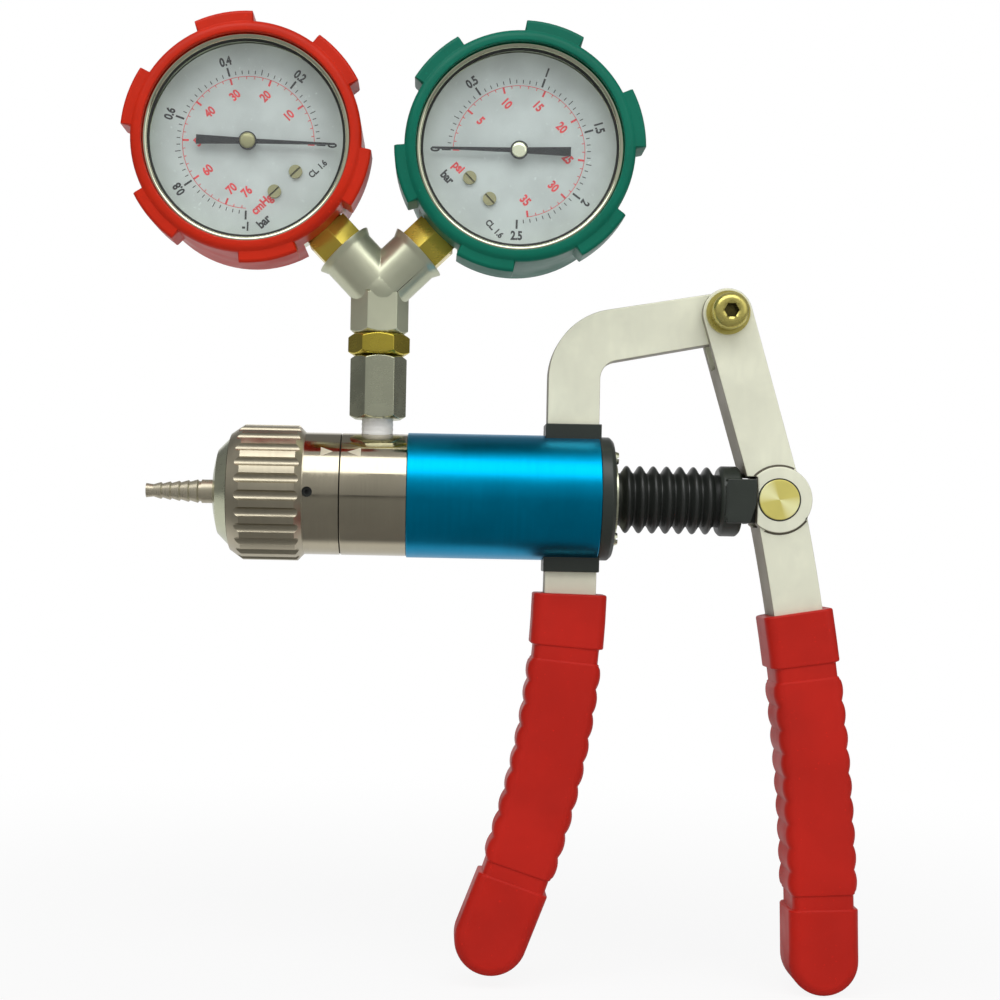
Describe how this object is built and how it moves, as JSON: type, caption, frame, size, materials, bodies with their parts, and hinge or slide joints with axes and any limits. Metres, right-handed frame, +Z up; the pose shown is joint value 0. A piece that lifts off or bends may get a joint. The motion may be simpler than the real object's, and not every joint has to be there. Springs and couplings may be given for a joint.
{
  "type": "turbo actuator tester",
  "caption": "Hand-squeezed vacuum and pressure pump with a fluted selector, hose barb, boot-covered dial gauges on a Y fitting, red-gripped handle and sprung lever.",
  "frame": {"origin": "middle of the nose face on the pump axis, where the hose barb is seated", "axes": "+X along the pump from the nose to the handles, +Y away from the dials, +Z up towards the gauges"},
  "size_m": [0.2253, 0.0412, 0.2902],
  "materials": {
    "nickel": "bright warm nickel plate",
    "steel": "machined",
    "aluminium": "turned",
    "satin": "satin blasted",
    "blue": "blue anodised",
    "brass": "machined",
    "black_plastic": "fine satin",
    "black_rubber": "matte",
    "grip_red": "satin dipped",
    "boot_red": "matte",
    "boot_green": "matte",
    "dial_white": "semi-gloss",
    "pointer_black": "satin",
    "tape_white": "matte",
    "clear": "clear"
  },
  "bodies": {
    "pump": {"hose_barb": "nickel", "nose_cone": "steel", "valve_body": "nickel", "valve_spindle": "steel", "spindle_orings": "black_rubber", "check_valves": "black_rubber", "cylinder_tube": "blue", "tube_oring": "black_rubber", "end_housing": "black_plastic", "housing_screws": "steel", "rod_bush": "brass", "bellows_retainer": "steel", "fixed_handle": "satin", "fixed_grip": "grip_red", "pivot_bush": "brass", "bellows": "black_rubber", "return_spring": "steel", "thread_seal": "tape_white", "gauge_adapter": "steel", "lock_nut": "brass", "y_fitting": "steel", "vacuum_boot": "boot_red", "vacuum_case": "steel", "vacuum_bezel": "steel", "vacuum_window": "clear", "vacuum_dial": "dial_white", "vacuum_dial_screws": "steel", "vacuum_stem": "brass", "vacuum_bourdon_tube": "brass", "vacuum_movement": "brass", "pressure_boot": "boot_green", "pressure_case": "steel", "pressure_bezel": "steel", "pressure_window": "clear", "pressure_dial": "dial_white", "pressure_dial_screws": "steel", "pressure_stem": "brass", "pressure_bourdon_tube": "brass", "pressure_movement": "brass"},
    "selector": {"selector_ring": "nickel", "stop_screw": "black_plastic"},
    "rod": {"piston": "aluminium", "piston_seal": "black_rubber", "piston_rod": "steel", "rod_end": "black_plastic"},
    "lever": {"lever": "satin", "lever_grip": "grip_red", "rod_pin": "brass", "pivot_bolt": "brass", "pivot_washers": "brass", "pivot_nut": "brass"},
    "vacuum_needle": {"vacuum_arbor": "steel", "vacuum_pointer": "pointer_black"},
    "pressure_needle": {"pressure_arbor": "steel", "pressure_pointer": "pointer_black"},
    "vacuum_sector_gear": {"vacuum_sector": "brass", "vacuum_link": "steel"},
    "pressure_sector_gear": {"pressure_sector": "brass", "pressure_link": "steel"}
  },
  "joints": [
    {"name": "lever_swing", "type": "hinge", "parent": "pump", "child": "lever", "pos_m": [0.1546, 0, 0.0566], "axis": [0, 1, 0], "range_deg": [0, 18], "stiffness_Nm_per_rad": 1.2, "springref_deg": -20.05},
    {"name": "rod_slide", "type": "slide", "parent": "pump", "child": "rod", "axis": [-1, 0, 0], "range_m": [0, 0.0183], "deforming": ["bellows", "return_spring"]},
    {"name": "selector_turn", "type": "hinge", "parent": "pump", "child": "selector", "pos_m": [0.02215, 0, 0], "axis": [1, 0, 0], "range_deg": [0, 90]},
    {"name": "vacuum_reading", "type": "hinge", "parent": "pump", "child": "vacuum_needle", "pos_m": [0.00963, 0, 0.10429], "axis": [0, -1, 0], "range_deg": [0, 270], "stiffness_Nm_per_rad": 0.0005, "springref_deg": -22.92},
    {"name": "vacuum_sector_swing", "type": "hinge", "parent": "pump", "child": "vacuum_sector_gear", "pos_m": [0.00936, 0, 0.08889], "axis": [0, -1, 0], "range_deg": [-27.5, 0.5]},
    {"name": "pressure_reading", "type": "hinge", "parent": "pump", "child": "pressure_needle", "pos_m": [0.09058, 0, 0.10309], "axis": [0, 1, 0], "range_deg": [0, 270], "stiffness_Nm_per_rad": 0.0005, "springref_deg": -22.92},
    {"name": "pressure_sector_swing", "type": "hinge", "parent": "pump", "child": "pressure_sector_gear", "pos_m": [0.07518, 0, 0.10328], "axis": [0, 1, 0], "range_deg": [-27.5, 0.5]}
  ],
  "couplings": [
    {"joint": "rod_slide", "follows": "lever_swing", "m_per_rad": 0.05765},
    {"joint": "vacuum_sector_swing", "follows": "vacuum_reading", "ratio": -0.1},
    {"joint": "pressure_sector_swing", "follows": "pressure_reading", "ratio": -0.1}
  ]
}
